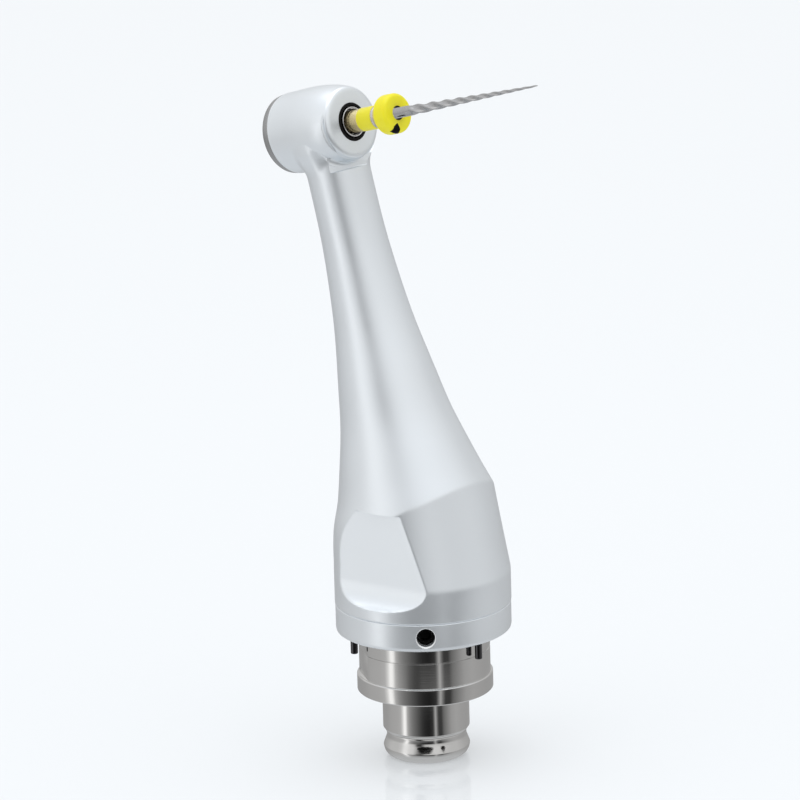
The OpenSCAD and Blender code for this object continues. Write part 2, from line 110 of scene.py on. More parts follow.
def smin(a, b, k):
    h = np.maximum(k - np.abs(a - b), 0) / np.maximum(k, 1e-9)
    return np.minimum(a, b) - h * h * k * 0.25


def smax(a, b, k):
    return -smin(-a, -b, k)


def step(lo, hi, v):
    t = np.clip((v - lo) / (hi - lo), 0, 1)
    return t * t * (3 - 2 * t)


def build(name, verts, faces, sharp=40.0):
    me = bpy.data.meshes.new(name)
    v = np.asarray(verts, float) * MM
    me.from_pydata(v.tolist(), [], faces if isinstance(faces, list) else faces.tolist())
    me.validate()
    me.update()
    finish_mesh(me, sharp)
    o = bpy.data.objects.new(name, me)
    bpy.context.scene.collection.objects.link(o)
    return o


def finish_mesh(me, sharp):
    me.polygons.foreach_set("use_smooth", np.ones(len(me.polygons), bool))
    if sharp:
        me.set_sharp_from_angle(angle=math.radians(sharp))
    me.update()


def grid_faces(rings, seg, start=0, flip=False):
    """Quads between consecutive closed rings of seg points."""
    i = np.arange(rings - 1)[:, None] * seg
    j = np.arange(seg)[None, :]
    k = (j + 1) % seg
    q = np.stack([i + j, i + k, i + seg + k, i + seg + j], -1).reshape(-1, 4) + start
    return q[:, ::-1] if flip else q


def lathe(name, profile, origin, axis, xref, seg=128, sharp=40.0, closed=True):
    """Turns a profile of (radius, along) points round an axis. A closed profile gives a closed skin."""
    p = np.array(profile, float)
    w = unit(axis)
    u = unit(np.array(xref, float) - w * (np.array(xref, float) @ w))
    v = np.cross(w, u)
    ang = np.linspace(0, 2 * math.pi, seg, endpoint=False)
    ring = np.cos(ang)[:, None] * u + np.sin(ang)[:, None] * v
    verts, faces, rows = [], [], []
    for r, l in p:
        if r < 1e-6:
            rows.append((len(verts),))
            verts.append(np.array(origin) + w * l)
        else:
            rows.append(tuple(range(len(verts), len(verts) + seg)))
            verts.extend(np.array(origin) + w * l + ring * r)
    n = len(rows)
    for i in range(n if closed else n - 1):
        a, b = rows[i], rows[(i + 1) % n]
        if len(a) == 1 and len(b) == 1:
            continue
        for j in range(seg):
            k = (j + 1) % seg
            if len(a) == 1:
                faces.append((a[0], b[k], b[j]))
            elif len(b) == 1:
                faces.append((a[j], a[k], b[0]))
            else:
                faces.append((a[j], a[k], b[k], b[j]))
    o = build(name, np.array(verts), faces, sharp)
    # faces look outward
    bm_fix(o)
    finish_mesh(o.data, sharp)
    return o


def bm_fix(o):
    import bmesh
    bm = bmesh.new()
    bm.from_mesh(o.data)
    bmesh.ops.recalc_face_normals(bm, faces=bm.faces)
    bm.to_mesh(o.data)
    bm.free()
    o.data.update()


def arc(cx, cy, r, a0, a1, n):
    """Points of an arc, angles in degrees."""
    return [(cx + r * math.cos(math.radians(a0 + (a1 - a0) * i / n)),
             cy + r * math.sin(math.radians(a0 + (a1 - a0) * i / n))) for i in range(n + 1)]


def rounded(points, radii, n=5):
    """A closed or open polyline with its corners rounded: radii per point, 0 keeps the corner."""
    p = [np.array(q, float) for q in points]
    out = []
    m = len(p)
    for i in range(m):
        r = radii[i] if i < len(radii) else 0
        if not r:
            out.append(tuple(p[i]))
            continue
        a, b, c = p[i - 1], p[i], p[(i + 1) % m]
        u, v = unit(a - b), unit(c - b)
        half = math.acos(max(-1, min(1, float(u @ v)))) / 2
        d = min(r / math.tan(half), 0.49 * np.linalg.norm(a - b), 0.49 * np.linalg.norm(c - b))
        s, e = b + u * d, b + v * d
        for j in range(n + 1):
            t = j / n
            out.append(tuple((1 - t) ** 2 * s + 2 * t * (1 - t) * b + t * t * e))
    return out


def cut(o, cutters, op="DIFFERENCE"):
    """Cuts closed meshes out of o and keeps the result as o's own mesh."""
    for c in cutters:
        m = o.modifiers.new("cut", "BOOLEAN")
        m.operation = op
        m.object = c
        m.solver = "MANIFOLD"
    bpy.context.view_layer.update()
    dg = bpy.context.evaluated_depsgraph_get()
    me = bpy.data.meshes.new_from_object(o.evaluated_get(dg))
    o.modifiers.clear()
    old = o.data
    o.data = me
    me.name = old.name
    bpy.data.meshes.remove(old)
    for c in cutters:
        m = c.data
        bpy.data.objects.remove(c)
        bpy.data.meshes.remove(m)
    return o


def merge(name, objs, sharp=40.0):
    """Several meshes as one object."""
    vs, fs, base = [], [], 0
    for o in objs:
        co = np.zeros(len(o.data.vertices) * 3)
        o.data.vertices.foreach_get("co", co)
        vs.append(co.reshape(-1, 3) / MM)
        for p in o.data.polygons:
            fs.append([base + i for i in p.vertices])
        base += len(o.data.vertices)
        me = o.data
        bpy.data.objects.remove(o)
        bpy.data.meshes.remove(me)
    return build(name, np.concatenate(vs), fs, sharp)


def prism(name, pts, origin, u, v, w, depth):
    """A closed prism: pts in the (u, v) plane, extruded by depth along w."""
    n = len(pts)
    o = np.array(origin, float)
    low = [o + np.array(u) * p[0] + np.array(v) * p[1] for p in pts]
    high = [q + np.array(w) * depth for q in low]
    faces = [list(range(n))[::-1], list(range(n, 2 * n))]
    faces += [[i, (i + 1) % n, n + (i + 1) % n, n + i] for i in range(n)]
    ob = build(name, np.array(low + high), faces, 30)
    bm_fix(ob)
    return ob


# ------------------------------------------------------------------
# body shell: one smooth skin from the collar to the head
# ------------------------------------------------------------------
gx, gy = spline([(15, 9.04), (17, 9.04), (19, 9.04), (20.4, 9.035), (21.8, 8.99), (23, 8.9), (24.2, 8.75),
                 (25.2, 8.5), (26.5, 7.95), (28.5, 6.8), (32, 4.5)])
nx, ny = spline([(-4, 8.5), (-2, 8.74), (0, 8.77), (1.8, 8.48), (4.8, 7.6), (7.8, 6.75), (11.3, 5.84), (15.8, 5.03),
                 (20.8, 4.2), (25.8, 3.65), (30.8, 3.32), (36, 3.25), (41, 3.25), (46, 3.25)])
bx, by = spline([(-8.25, 4.15), (-7.2, 4.18), (-6, 4.22), (-5, 4.25), (-4, 4.25), (-3, 4.2), (-2.1, 4.1), (-1.5, 4.0),
                 (-0.9, 3.86), (-0.4, 3.72)], 0.03)
SIDE_D, SIDE_AZ, SIDE_Z, SIDE_R = 7.46, math.radians(80.4), 20.1, 2.55


def field(p):
    """Below 0 inside the body and neck, above 0 outside."""
    x, y, z = p[..., 0], p[..., 1], p[..., 2]
    rb = np.hypot(x, y)
    az = np.arctan2(y, x)
    fb = rb - np.interp(z, gx, gy) + np.maximum(z - 31.9, 0) * 2
    q = p - B
    t = q @ N
    u = q @ A
    rn = np.hypot(u, y)
    fn = rn - np.interp(t, nx, ny) + np.maximum(-1 - t, 0) * 0.4
    f = smin(fb, fn, 0.9)
    front = rb - (9.04 - (0.062 + 0.17 * np.cos(az)) * (z - 19.8)) + np.maximum(np.abs(az) - math.radians(74), 0) * -20
    f = smax(f, front, 0.06)
    for s in (1, -1):
        d = x * math.cos(SIDE_AZ) + s * y * math.sin(SIDE_AZ)
        low = SIDE_Z - z
        lean = SIDE_D + 0.032 * (z - 24)
        floor_ = np.where(low > 0, lean + SIDE_R - np.sqrt(np.maximum(SIDE_R ** 2 - low * low, 0.001)), lean)
        floor_ = np.where(low > SIDE_R - 0.02, 20.0, floor_)
        f = smax(f, np.minimum(d - floor_, 27.5 - z), 0.06)
    return f


def head_field(p):
    """The neck where it runs into the head drum: a soft hollow blend that fades out towards the drum's sides."""
    q = p - B
    t = q @ N
    y = p[..., 1]
    u = q @ A
    rn = np.hypot(u, y)
    fn = rn - np.interp(t, nx, ny)
    l = u - FACE
    h = t - T_HEAD
    fd = np.hypot(h, y) - np.interp(l, bx, by) + 0.004 + 0.06 * step(-0.7, -0.4, l)
    front = np.maximum(step(-1.7, -3.6, l), step(0.2, 1.8, y))
    k = 1.7 * step(0.5, -2.4, h) * (0.3 + 0.7 * step(-6.9, -4.9, l)) * (0.3 + 0.7 * front)
    return smin(fn, fd, k)


def solve(f, origin, direction, lo, hi, rounds=30):
    a = np.full(direction.shape[:-1], float(lo))
    b = np.full(direction.shape[:-1], float(hi))
    for _ in range(rounds):
        m = (a + b) / 2
        inside = f(origin + direction * m[..., None]) < 0
        a = np.where(inside, m, a)
        b = np.where(inside, b, m)
    return origin + direction * ((a + b) / 2)[..., None]


SEG = 540
psi = np.linspace(0, 2 * math.pi, SEG, endpoint=False)


def frames():
    """Origin and first direction of every straight ring, bottom to top."""
    out = []
    for z in np.concatenate([[SEAM, SEAM + 0.03, SEAM + 0.07], np.arange(SEAM + 0.18, 28.2, 0.09)]):
        out.append((np.array([0, 0, z]), X))
    p0, p1 = np.array([0, 0, 28.2]), B + N * 12
    span = np.linalg.norm(p1 - p0)
    count = 66
    for i in range(1, count):
        s = i / count
        h00, h10, h01, h11 = 2 * s**3 - 3 * s**2 + 1, s**3 - 2 * s**2 + s, -2 * s**3 + 3 * s**2, s**3 - s**2
        o = h00 * p0 + h10 * span * Z + h01 * p1 + h11 * span * N
        ang = BEND * (s * s * (3 - 2 * s))
        out.append((o, np.array([math.cos(ang), 0, math.sin(ang)])))
    for t in np.arange(12, 33.9, 0.3):
        out.append((B + N * t, A))
    return out


def shell():
    fr = frames()
    org = np.array([f[0] for f in fr])[:, None, :]
    e1 = np.array([f[1] for f in fr])[:, None, :]
    dirs = np.cos(psi)[None, :, None] * e1 + np.sin(psi)[None, :, None] * Y
    low = solve(field, np.broadcast_to(org, dirs.shape), dirs, 2.0, 12.0)
    # small chamfer at the bottom edge
    for i, d in ((0, 0.07), (1, 0.03), (2, 0.004)):
        low[i] -= dirs[i] * d
    # rays from the head's centre for the last part of the neck and the blend
    heights = np.arange(-7.9, -6.0, 0.16)
    th = list(np.arctan2(3.25, -heights))
    t0 = th[-1]
    rows = []
    end = math.radians(52) + math.radians(46) * np.abs(np.sin(psi)) ** 1.5
    # the skin stops before the drum's two ends
    lat = np.where(np.cos(psi) > 0, 3.2, 4.4)
    rad = np.where(np.cos(psi) > 0, 3.72, 4.15)
    disc = (rad * np.cos(psi)) ** 2 - (lat * np.sin(psi)) ** 2
    end = np.minimum(end, np.where(disc > 0, np.arctan2(lat, np.sqrt(np.maximum(disc, 1e-9))), 2.0))
    for a in th:
        rows.append(np.full(SEG, a))
    m = 72
    for i in range(1, m + 1):
        rows.append(t0 + (end - t0) * (i / m))
    th = np.array(rows)
    side = np.cos(psi)[:, None] * A + np.sin(psi)[:, None] * Y
    dirs = -np.cos(th)[..., None] * N + np.sin(th)[..., None] * side[None]
    top = solve(head_field, np.broadcast_to(H, dirs.shape), dirs, 2.6, 11.0)
    outer = np.concatenate([low, top])
    # inside the head's wall, back down to the neck's bore
    back = []
    r_in = 3.72
    th_in = math.asin(1.0 / r_in)
    for i in range(13):
        a = end + (th_in - end) * (i / 12)
        s = np.sin(a)[:, None] * side
        hh = -np.cos(a)
        # cylinder of radius r_in round the head axis
        lat_y = np.sin(a) * np.sin(psi)
        k = r_in / np.sqrt(hh ** 2 + lat_y ** 2 + 1e-9)
        reach = np.minimum(k, 4.4)
        back.append(H + (hh * reach)[:, None] * N + s * reach[:, None])
    inner = []

    def circle(o, e, r):
        return o + r * (np.cos(psi)[:, None] * e + np.sin(psi)[:, None] * Y)

    for t, r in ((36.7, 1.0), (36.7, 1.5), (36.3, 1.5), (36.3, 2.2), (9, 2.2), (9, 5.0), (1.0, 5.0)):
        inner.append(circle(B + N * t, A, r))
    for z, r in ((20.4, 5.3), (20.4, 6.2), (SEAM, 6.2)):
        inner.append(circle(np.array([0, 0, z]), X, r))
    rings = np.concatenate([outer, np.array(back), np.array(inner)])
    n = len(rings)
    faces = grid_faces(n, SEG, flip=False)
    last = (n - 1) * SEG
    j = np.arange(SEG)
    k = (j + 1) % SEG
    faces = np.concatenate([faces, np.stack([last + j, last + k, k, j], -1)])
    o = build("neck_skin", rings.reshape(-1, 3), faces, 35)
    bm_fix(o)
    # the notch that frees the drum's front from the neck: a slanted wall, a ledge, a small round between them
    notch = prism("notch", rounded([(-RELIEF, 8.0), (-RELIEF, -4.58), (8.0, -4.58), (8.0, 8.0)], [0, 0.15, 0, 0]), F0 - NF * 9, NE, N, NF, 18)
    cut(o, [notch])
    return o


TURN, RELIEF = math.radians(20.6), 0.85
NE = A * math.cos(TURN) - Y * math.sin(TURN)      # out of the notch's wall
NF = Y * math.cos(TURN) + A * math.sin(TURN)      # along the notch


def cove():
    """The soft hollow between the drum's barrel and the notch's wall, trimmed to the neck."""
    rows = []
    for a in np.radians(np.arange(-78, 40, 1.5)):
        out = -N * math.cos(a) + Y * math.sin(a)
        wall = (-RELIEF + 4.3 * math.sin(a) * math.sin(TURN)) / math.cos(TURN)
        r = float(np.clip(-0.62 - wall, 0.03, 0.7))
        rb = float(np.interp(wall + r, bx, by)) - 0.01
        pts = [(3.3, wall - 0.3), (3.3, wall + r), (rb, wall + r)]
        pts += [(rb + r - r * math.cos(q), wall + r - r * math.sin(q)) for q in np.linspace(0, math.pi / 2, 9)[1:]]
        pts += [(rb + r, wall - 0.3)]
        rows.append([F0 + out * p[0] + A * p[1] for p in pts])
    rows = np.array(rows)
    n, m = rows.shape[:2]
    faces = grid_faces(n, m).tolist() + [list(range(m)), list(range((n - 1) * m, n * m))[::-1]]
    o = build("cove", rows.reshape(-1, 3), faces, 35)
    bm_fix(o)
    keep = lathe("keep", [(0, -4.58), (3.25, -4.58), (3.25, 0), (0, 0)], H, N, Y, 240)
    cut(o, [keep], "INTERSECT")
    return o


skin = shell()
hollow = cove()

drum_side = [(float(r), float(l)) for l, r in zip(bx, by) if -8.15 < l < -0.5][::-1]
drum_side = drum_side[:80] + drum_side[80::6]
_t = [0, 1, 2, 3, 4, 5, 6, 7]
_u, _r = spline(list(zip(_t, [3.0, 3.14, 3.3, 3.44, 3.55, 3.63, 3.69, 3.72])), 0.25)
_u, _l = spline(list(zip(_t, [0.0, -0.006, -0.034, -0.085, -0.155, -0.235, -0.33, -0.43])), 0.25)
drum_profile = (
    rounded([(1.96, -0.5), (1.96, 0.0), (2.9, 0.0)], [0, 0.05, 0], 6)
    + [(float(r), float(l)) for r, l in zip(_r, _l)]
    + drum_side
    + rounded([(4.155, -8.15), (4.15, -8.25), (3.5, -8.25), (3.5, -7.45), (3.175, -7.45), (3.175, -0.5)], [0, 0.03, 0, 0, 0, 0], 4)
)
drum = lathe("drum_skin", drum_profile, F0, A, Y, 360, 35)


def side_relief(o):
    """On both sides the rim stands free of the barrel: a short crescent groove, the barrel slightly proud behind it."""
    for v in o.data.vertices:
        q = np.array(v.co) / MM - F0
        l = float(q @ A)
        rad = q - A * l
        r = float(np.linalg.norm(rad))
        if r < 3.6 or l > -0.2 or l < -4.5:
            continue
        n = rad / r
        ang = math.degrees(math.acos(max(-1, min(1, float(-n @ N)))))
        w = float(step(44, 64, ang) * step(116, 96, ang))
        if ang < 60:
            v.co = v.co - Vector((n * 0.07 * float(step(60, 50, ang)) * math.exp(-((l + 0.52) / 0.06) ** 2) * MM).tolist())
        if w <= 0:
            continue
        dr = -0.20 * math.exp(-((l + 0.5) / 0.075) ** 2) + 0.10 * float(step(-0.5, -0.68, l) * step(-3.8, -1.2, l))
        v.co = v.co + Vector((n * dr * w * MM).tolist())
    finish_mesh(o.data, 50)


side_relief(drum)
bore = lathe("bore", [(0, -6.0), (1.0, -6.0), (1.0, -1.0), (0, -1.0)], H, N, Y, 96)
cut(drum, [bore])
body_skin = merge("body_skin", [skin, hollow, drum], 35)

# ------------------------------------------------------------------
# head: end cap, button, seal, spindle nose
# ------------------------------------------------------------------
cap_rear = float((np.array([v.co for v in frame["nodes"]["head_cap"].data.vertices], float) / MM - F0).dot(A).min())
cap_profile = rounded([(3.5, -7.5), (3.5, -8.27), (4.05, -8.27), (4.1, -8.36), (4.085, -8.7), (4.03, cap_rear + 0.24), (3.93, cap_rear + 0.08),
                       (3.72, cap_rear), (2.95, cap_rear), (2.9, cap_rear + 0.06), (2.9, -8.6), (3.25, -8.6), (3.25, -7.5)],
                      [0, 0, 0.04, 0.05, 0.1, 0.12, 0.1, 0.1, 0.04, 0.03, 0, 0, 0], 4)
cap_skin = lathe("cap_skin", cap_profile, F0, A, Y, 256, 35)
bxs, bys = spline([(0, -9.62), (0.7, -9.61), (1.4, -9.57), (2.1, -9.48), (2.5, -9.4)], 0.08)
button_profile = [(float(x), float(y)) for x, y in zip(bxs, bys)] + rounded(
    [(2.56, -9.385), (2.82, -9.3), (2.85, -9.1), (2.85, -8.57), (3.2, -8.57), (3.2, -8.25), (2.6, -8.25), (2.6, -8.8), (0, -8.8)],
    [0, 0.12, 0, 0.04, 0, 0, 0, 0, 0], 5)
button_skin = lathe("button_skin", button_profile, F0, A, Y, 200, 35)
seal_skin = lathe("seal_skin", rounded([(1.64, -0.42), (1.96, -0.42), (1.96, 0.02), (1.9, 0.07), (1.7, 0.07), (1.64, 0.0)],
                                       [0, 0, 0.03, 0.03, 0.03, 0.03], 4), F0, A, Y, 128, 35)
spindle_skin = lathe("spindle_skin", rounded([(1.2, -7.3), (1.58, -7.3), (1.58, -0.36), (1.53, -0.3), (1.53, 0.16), (1.43, 0.16), (1.42, -0.9), (1.2, -1.1)],
                                             [0, 0.03, 0.02, 0.02, 0.035, 0.03, 0.03, 0.03], 4), F0, A, Y, 160, 35)
stopper = lathe("stopper", [(0, -6.9), (1.25, -6.9), (1.25, -6.35), (0, -6.35)], F0, A, Y, 64, 35)
cut(stopper, [prism("slot_cut", [(-3.5, -7.1), (0.64, -7.1), (0.64, -6.2), (-3.5, -6.2)], F0 - Y * 3, N, A, Y, 6)])
spindle_skin = merge("spindle_skin", [spindle_skin, stopper], 35)

# ------------------------------------------------------------------
# collar, screw, pins, coupling sleeve
# ------------------------------------------------------------------
collar_profile = rounded([(6.76, COL_LO), (COL_R - 0.3, COL_LO), (COL_R - 0.06, COL_LO + 0.16), (COL_R, COL_LO + 0.42), (COL_R, SEAM - 0.13),
                          (COL_R - 0.12, SEAM), (6.76, SEAM)], [0, 0.1, 0.14, 0.2, 0.03, 0.02, 0], 5)
collar_skin = lathe("collar_skin", collar_profile, (0, 0, 0), Z, X, 400, 35)
SCR = math.radians(-46)
scr_dir = np.array([math.cos(SCR), math.sin(SCR), 0])
scr_at = np.array([0, 0, 15.06])
hole = lathe("hole", [(0, 6.0), (0.95, 6.0), (0.95, 8.86), (1.16, 9.07), (1.16, 9.6), (0, 9.6)], scr_at, scr_dir, Z, 96)
holes = [hole]
for i in range(3):
    q = math.radians(120 * i)
    holes.append(lathe(f"pin_hole_{i}", [(0, 13.0), (0.62, 13.0), (0.62, 14.1), (0, 14.1)],
                       (7.5 * math.cos(q), 7.5 * math.sin(q), 0), Z, X, 40))
cut(collar_skin, holes)
finish_mesh(collar_skin.data, 35)
screw_skin = lathe("screw_skin", rounded([(0, 6.8), (0.93, 6.8), (0.93, 8.1), (0.8, 8.22), (0.62, 8.22), (0.5, 8.05), (0.5, 7.35), (0, 7.25)],
                                         [0, 0, 0.05, 0.05, 0.05, 0, 0, 0], 4), scr_at, scr_dir, Z, 96, 35)
pins = []
for i in range(3):
    q = math.radians(120 * i)
    pins.append(lathe(f"pin_{i}", rounded([(0, PIN_LO), (0.375, PIN_LO), (0.375, 15.0), (0, 15.0)], [0, 0.12, 0, 0], 6),
                      (7.5 * math.cos(q), 7.5 * math.sin(q), 0), Z, X, 48, 35))
pins_skin = merge("pins_skin", pins, 35)

_t = list(range(12))
_u, _r = spline(list(zip(_t, [3.6, 3.7, 3.92, 4.14, 4.32, 4.41, 4.44, 4.4, 4.26, 4.13, 4.09, 4.11])), 0.125)
_u, _z = spline(list(zip(_t, [0.0, 0.04, 0.16, 0.34, 0.62, 0.9, 1.1, 1.26, 1.64, 2.0, 2.28, 2.54])), 0.125)
foot = [(min(float(r), 4.44), max(float(z), 0.0)) for z, r in zip(_z, _r)]
sleeve_profile = (
    rounded([(3.3, 0.14), (3.4, 0.0), (3.5, 0.0)], [0.03, 0.05, 0], 4)
    + foot
    + rounded([(4.13, 2.6), (4.33, 2.94), (4.45, 3.1), (4.45, 7.12), (6.86, 7.12), (6.98, 7.24), (6.98, 8.82), (6.87, 8.93),
               (6.75, 8.93), (6.75, 11.52), (6.68, 11.56), (6.68, 11.62), (6.75, 11.66), (6.75, SEAM), (6.2, SEAM), (6.2, 20.3), (4.0, 20.3),
               (4.0, 10.0), (2.8, 10.0), (2.8, 3.9), (3.3, 3.9)],
              [0.1, 0.06, 0.06, 0.05, 0.03, 0.04, 0.04, 0.03, 0.03, 0.012, 0.01, 0.01, 0.012, 0, 0, 0, 0, 0, 0, 0.05, 0.05], 4)
)
sleeve_skin = lathe("sleeve_skin", sleeve_profile, (0, 0, 0), Z, X, 320, 35)
flats = []
for q in (-124, 56):
    e = np.array([math.cos(math.radians(q)), math.sin(math.radians(q)), 0])
    flats.append(prism("flat_cut", [(-3, 8.935), (3, 8.935), (3, 13.65), (-3, 13.65)], e * 6.45, np.cross(Z, e), Z, e, 2))
cut(sleeve_skin, flats)
finish_mesh(sleeve_skin.data, 35)

# ------------------------------------------------------------------
# file: shank, colour band, ring, fluted blade, stop and its mark
# ------------------------------------------------------------------
BAND = float((np.array([v.co for v in frame["nodes"]["file_band"].data.vertices], float) / MM - F0).dot(A).min())
shank_profile = rounded([(0, -7.9), (1.0, -7.9), (1.13, -7.78), (1.175, -7.72), (0.8, -7.72), (0.8, -7.35), (1.175, -7.35), (1.175, BAND), (1.1, BAND),
                         (1.1, BAND + 2), (1.175, BAND + 2), (1.175, BAND + 2.1), (1.1, BAND + 2.1), (1.1, BAND + 2.35), (1.175, BAND + 2.35),
                         (1.175, BAND + 2.52), (0.93, BAND + 2.74), (0.56, BAND + 2.78), (0.56, 1.0), (0, 1.0)],
                        [0, 0.05, 0.03, 0, 0, 0, 0.02, 0.02, 0, 0, 0.02, 0.02, 0, 0, 0.02, 0.06, 0.08, 0.03, 0, 0], 4)
shank_skin = lathe("shank_skin", shank_profile, F0, A, N, 160, 35)
flat = prism("flat", [(0.6, -8.5), (3, -8.5), (3, -6.2), (0.6, -6.2)], F0 - Y * 3, N, A, Y, 6)
cut(shank_skin, [flat])
finish_mesh(shank_skin.data, 35)
band_skin = lathe("band_skin", rounded([(1.1, BAND), (1.2, BAND), (1.2, BAND + 2), (1.1, BAND + 2)], [0, 0.05, 0.05, 0], 5), F0, A, N, 160, 35)
ring_skin = lathe("ring_skin", rounded([(1.1, BAND + 2.1), (1.2, BAND + 2.1), (1.2, BAND + 2.35), (1.1, BAND + 2.35)], [0, 0.04, 0.04, 0], 5), F0, A, N, 160, 35)

blade_co = np.array([v.co for v in frame["nodes"]["file_blade"].data.vertices], float) / MM - F0
TIP = float((blade_co @ A).max())
START = float((blade_co @ A).min())
FL0 = 8.0


def blade():
    u, v = N, np.cross(A, N)
    ls = list(np.arange(START, FL0, 0.4)) + list(np.arange(FL0, TIP - 0.5, 0.05)) + list(np.linspace(TIP - 0.5, TIP - 0.04, 14))
    seg = 60
    ang = np.linspace(0, 2 * math.pi, seg, endpoint=False)
    rings = []
    for l in ls:
        r = 0.54 if l < FL0 + 0.8 else 0.09 + (0.54 - 0.09) * (TIP - 0.2 - l) / (TIP - FL0 - 1.0)
        r = max(r, 0.085)
        c = 0.0 if l < FL0 else min(1.0, (l - FL0) / 1.2)
        turn = math.radians(69 + 53.6 * max(l - 8.6, 0) + 1.1 * max(l - 8.6, 0) ** 2)
        q = ang - turn
        # three cutting edges with wide, shallow flutes between them
        edge = (0.5 + 0.5 * np.cos(3 * q)) ** 1.6
        depth = 0.30 * c
        s = r * (1 - depth * (1 - edge))
        tip = min(1.0, max(TIP - l, 0.0) / 0.35)
        s = s * (0.35 + 0.65 * math.sqrt(tip))
        rings.append(F0 + A * l + s[:, None] * (np.cos(ang)[:, None] * u + np.sin(ang)[:, None] * v))
    rings = np.array(rings)
    n = len(rings)
    verts = np.concatenate([rings.reshape(-1, 3), [F0 + A * START, F0 + A * TIP]])
    faces = grid_faces(n, seg).tolist()
    a, b = n * seg, n * seg + 1
    for j in range(seg):
        k = (j + 1) % seg
        faces.append([a, k, j])
        faces.append([(n - 1) * seg + j, (n - 1) * seg + k, b])
    o = build("blade_skin", verts, faces, 0)
    bm_fix(o)
    finish_mesh(o.data, 50)
    return o


blade_skin = blade()

stop_co = np.array([v.co for v in frame["nodes"]["file_stop"].data.vertices], float) / MM - F0
S0, S1 = float((stop_co @ A).min()), float((stop_co @ A).max())
SR = float(np.sqrt(((stop_co - np.outer(stop_co @ A, A)) ** 2).sum(1)).max())
stop_profile = (
    [(0.64, S0 + 0.5), (0.66, S0 + 0.2), (0.74, S0 + 0.06), (0.9, S0)]
    + [(SR - 0.42, S0)] + arc(SR - 0.42, S0 + 0.42, 0.42, -90, 0, 10)[1:]
    + arc(SR - 0.42, S1 - 0.42, 0.42, 0, 90, 10) + [(0.9, S1), (0.74, S1 - 0.06), (0.66, S1 - 0.2), (0.64, S1 - 0.5)]
)
stop_skin = lathe("stop_skin", stop_profile, F0, A, N, 180, 35)
mark_skin = lathe("mark_skin", stop_profile, F0, A, N, 180, 35)
WEDGE = math.radians(25)
we = -N * math.cos(WEDGE) - Y * math.sin(WEDGE)
wf = np.cross(A, we)


def wedge(tip, w):
    """Outline of the direction mark in the stop's face, its tip towards the blade."""
    return rounded([(tip, 0), (1.5, -0.72 * w), (2.6, -1.08 * w), (2.6, 1.08 * w), (1.5, 0.72 * w)], [0.12, 0.2, 0, 0, 0.2], 5)


cut(stop_skin, [prism("wedge_cut", wedge(1.02, 0.58), F0 + A * (S1 - 0.5), we, wf, A, 1)])
finish_mesh(stop_skin.data, 35)
cut(mark_skin, [prism("wedge_keep", wedge(1.05, 0.565), F0 + A * (S1 - 0.49), we, wf, A, 1)], "INTERSECT")
finish_mesh(mark_skin.data, 35)

# ------------------------------------------------------------------
# who rides where, and which CAD node each piece stands for
# ------------------------------------------------------------------
PIECES = [
    (body_skin, "housing", "body_shell", "satin_metal"),
    (cap_skin, "housing", "head_cap", "cap_metal"),
    (seal_skin, "housing", "head_seal", "seal_rubber"),
    (collar_skin, "housing", "collar_ring", "satin_metal"),
    (screw_skin, "housing", "collar_screw", "black_oxide"),
    (pins_skin, "housing", "locating_pins", "pin_steel"),
    (sleeve_skin, "housing", "coupling_sleeve", "sleeve_steel"),
    (button_skin, "button", "push_button", "cap_metal"),
    (spindle_skin, "spindle", "chuck_spindle", "spindle_steel"),
    (shank_skin, "file", "file_shank", "shank_brass"),
    (band_skin, "file", "file_band", "yellow_enamel"),
    (ring_skin, "file", "file_ring", "spindle_steel"),
    (blade_skin, "file", "file_blade", "nickel_titanium"),
    (stop_skin, "stop", "file_stop", "yellow_silicone"),
    (mark_skin, "stop", "stop_mark", "mark_black"),
]
for piece, body, node, slot in PIECES:
    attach(piece, body)
    if node:
        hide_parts(node)


# ------------------------------------------------------------------
# materials
# ------------------------------------------------------------------
def make(name):
    m = bpy.data.materials.new(name)
    m.use_nodes = True
    nt = m.node_tree
    return m, nt, nt.nodes["Principled BSDF"]


def node(nt, kind, **kw):
    n = nt.nodes.new(kind)
    for k, v in kw.items():
        if k in n.inputs.keys():
            n.inputs[k].default_value = v
        else:
            setattr(n, k, v)
    return n


def noise(nt, scale, detail=3.0, rough=0.5, stretch=None):
    tc = node(nt, "ShaderNodeTexCoord")
    src = tc.outputs["Object"]
    if stretch:
        mp = node(nt, "ShaderNodeMapping")
        mp.inputs["Scale"].default_value = stretch
        nt.links.new(src, mp.inputs["Vector"])
        src = mp.outputs["Vector"]
    n = node(nt, "ShaderNodeTexNoise", Scale=scale, Detail=detail, Roughness=rough)
    nt.links.new(src, n.inputs["Vector"])
    return n.outputs["Fac"]


def ramp(nt, fac, stops):
    r = nt.nodes.new("ShaderNodeValToRGB")
    e = r.color_ramp.elements
    while len(e) > 1:
        e.remove(e[-1])
    e[0].position, e[0].color = stops[0][0], stops[0][1]
    for p, c in stops[1:]:
        x = e.new(p)
        x.color = c
    nt.links.new(fac, r.inputs["Fac"])
    return r.outputs["Color"]


def rgb(c, k=1.0):
    return (min(c[0] * k, 1), min(c[1] * k, 1), min(c[2] * k, 1), 1)


def maprange(nt, fac, lo, hi, a=0.3, b=0.7):
    m = nt.nodes.new("ShaderNodeMapRange")
    m.inputs["From Min"].default_value = a
    m.inputs["From Max"].default_value = b
    m.inputs["To Min"].default_value = lo
    m.inputs["To Max"].default_value = hi
    nt.links.new(fac, m.inputs["Value"])
    return m.outputs["Result"]


def bump(nt, bsdf, height, strength, dist):
    b = nt.nodes.new("ShaderNodeBump")
    b.inputs["Strength"].default_value = strength
    b.inputs["Distance"].default_value = dist
    nt.links.new(height, b.inputs["Height"])
    nt.links.new(b.outputs["Normal"], bsdf.inputs["Normal"])


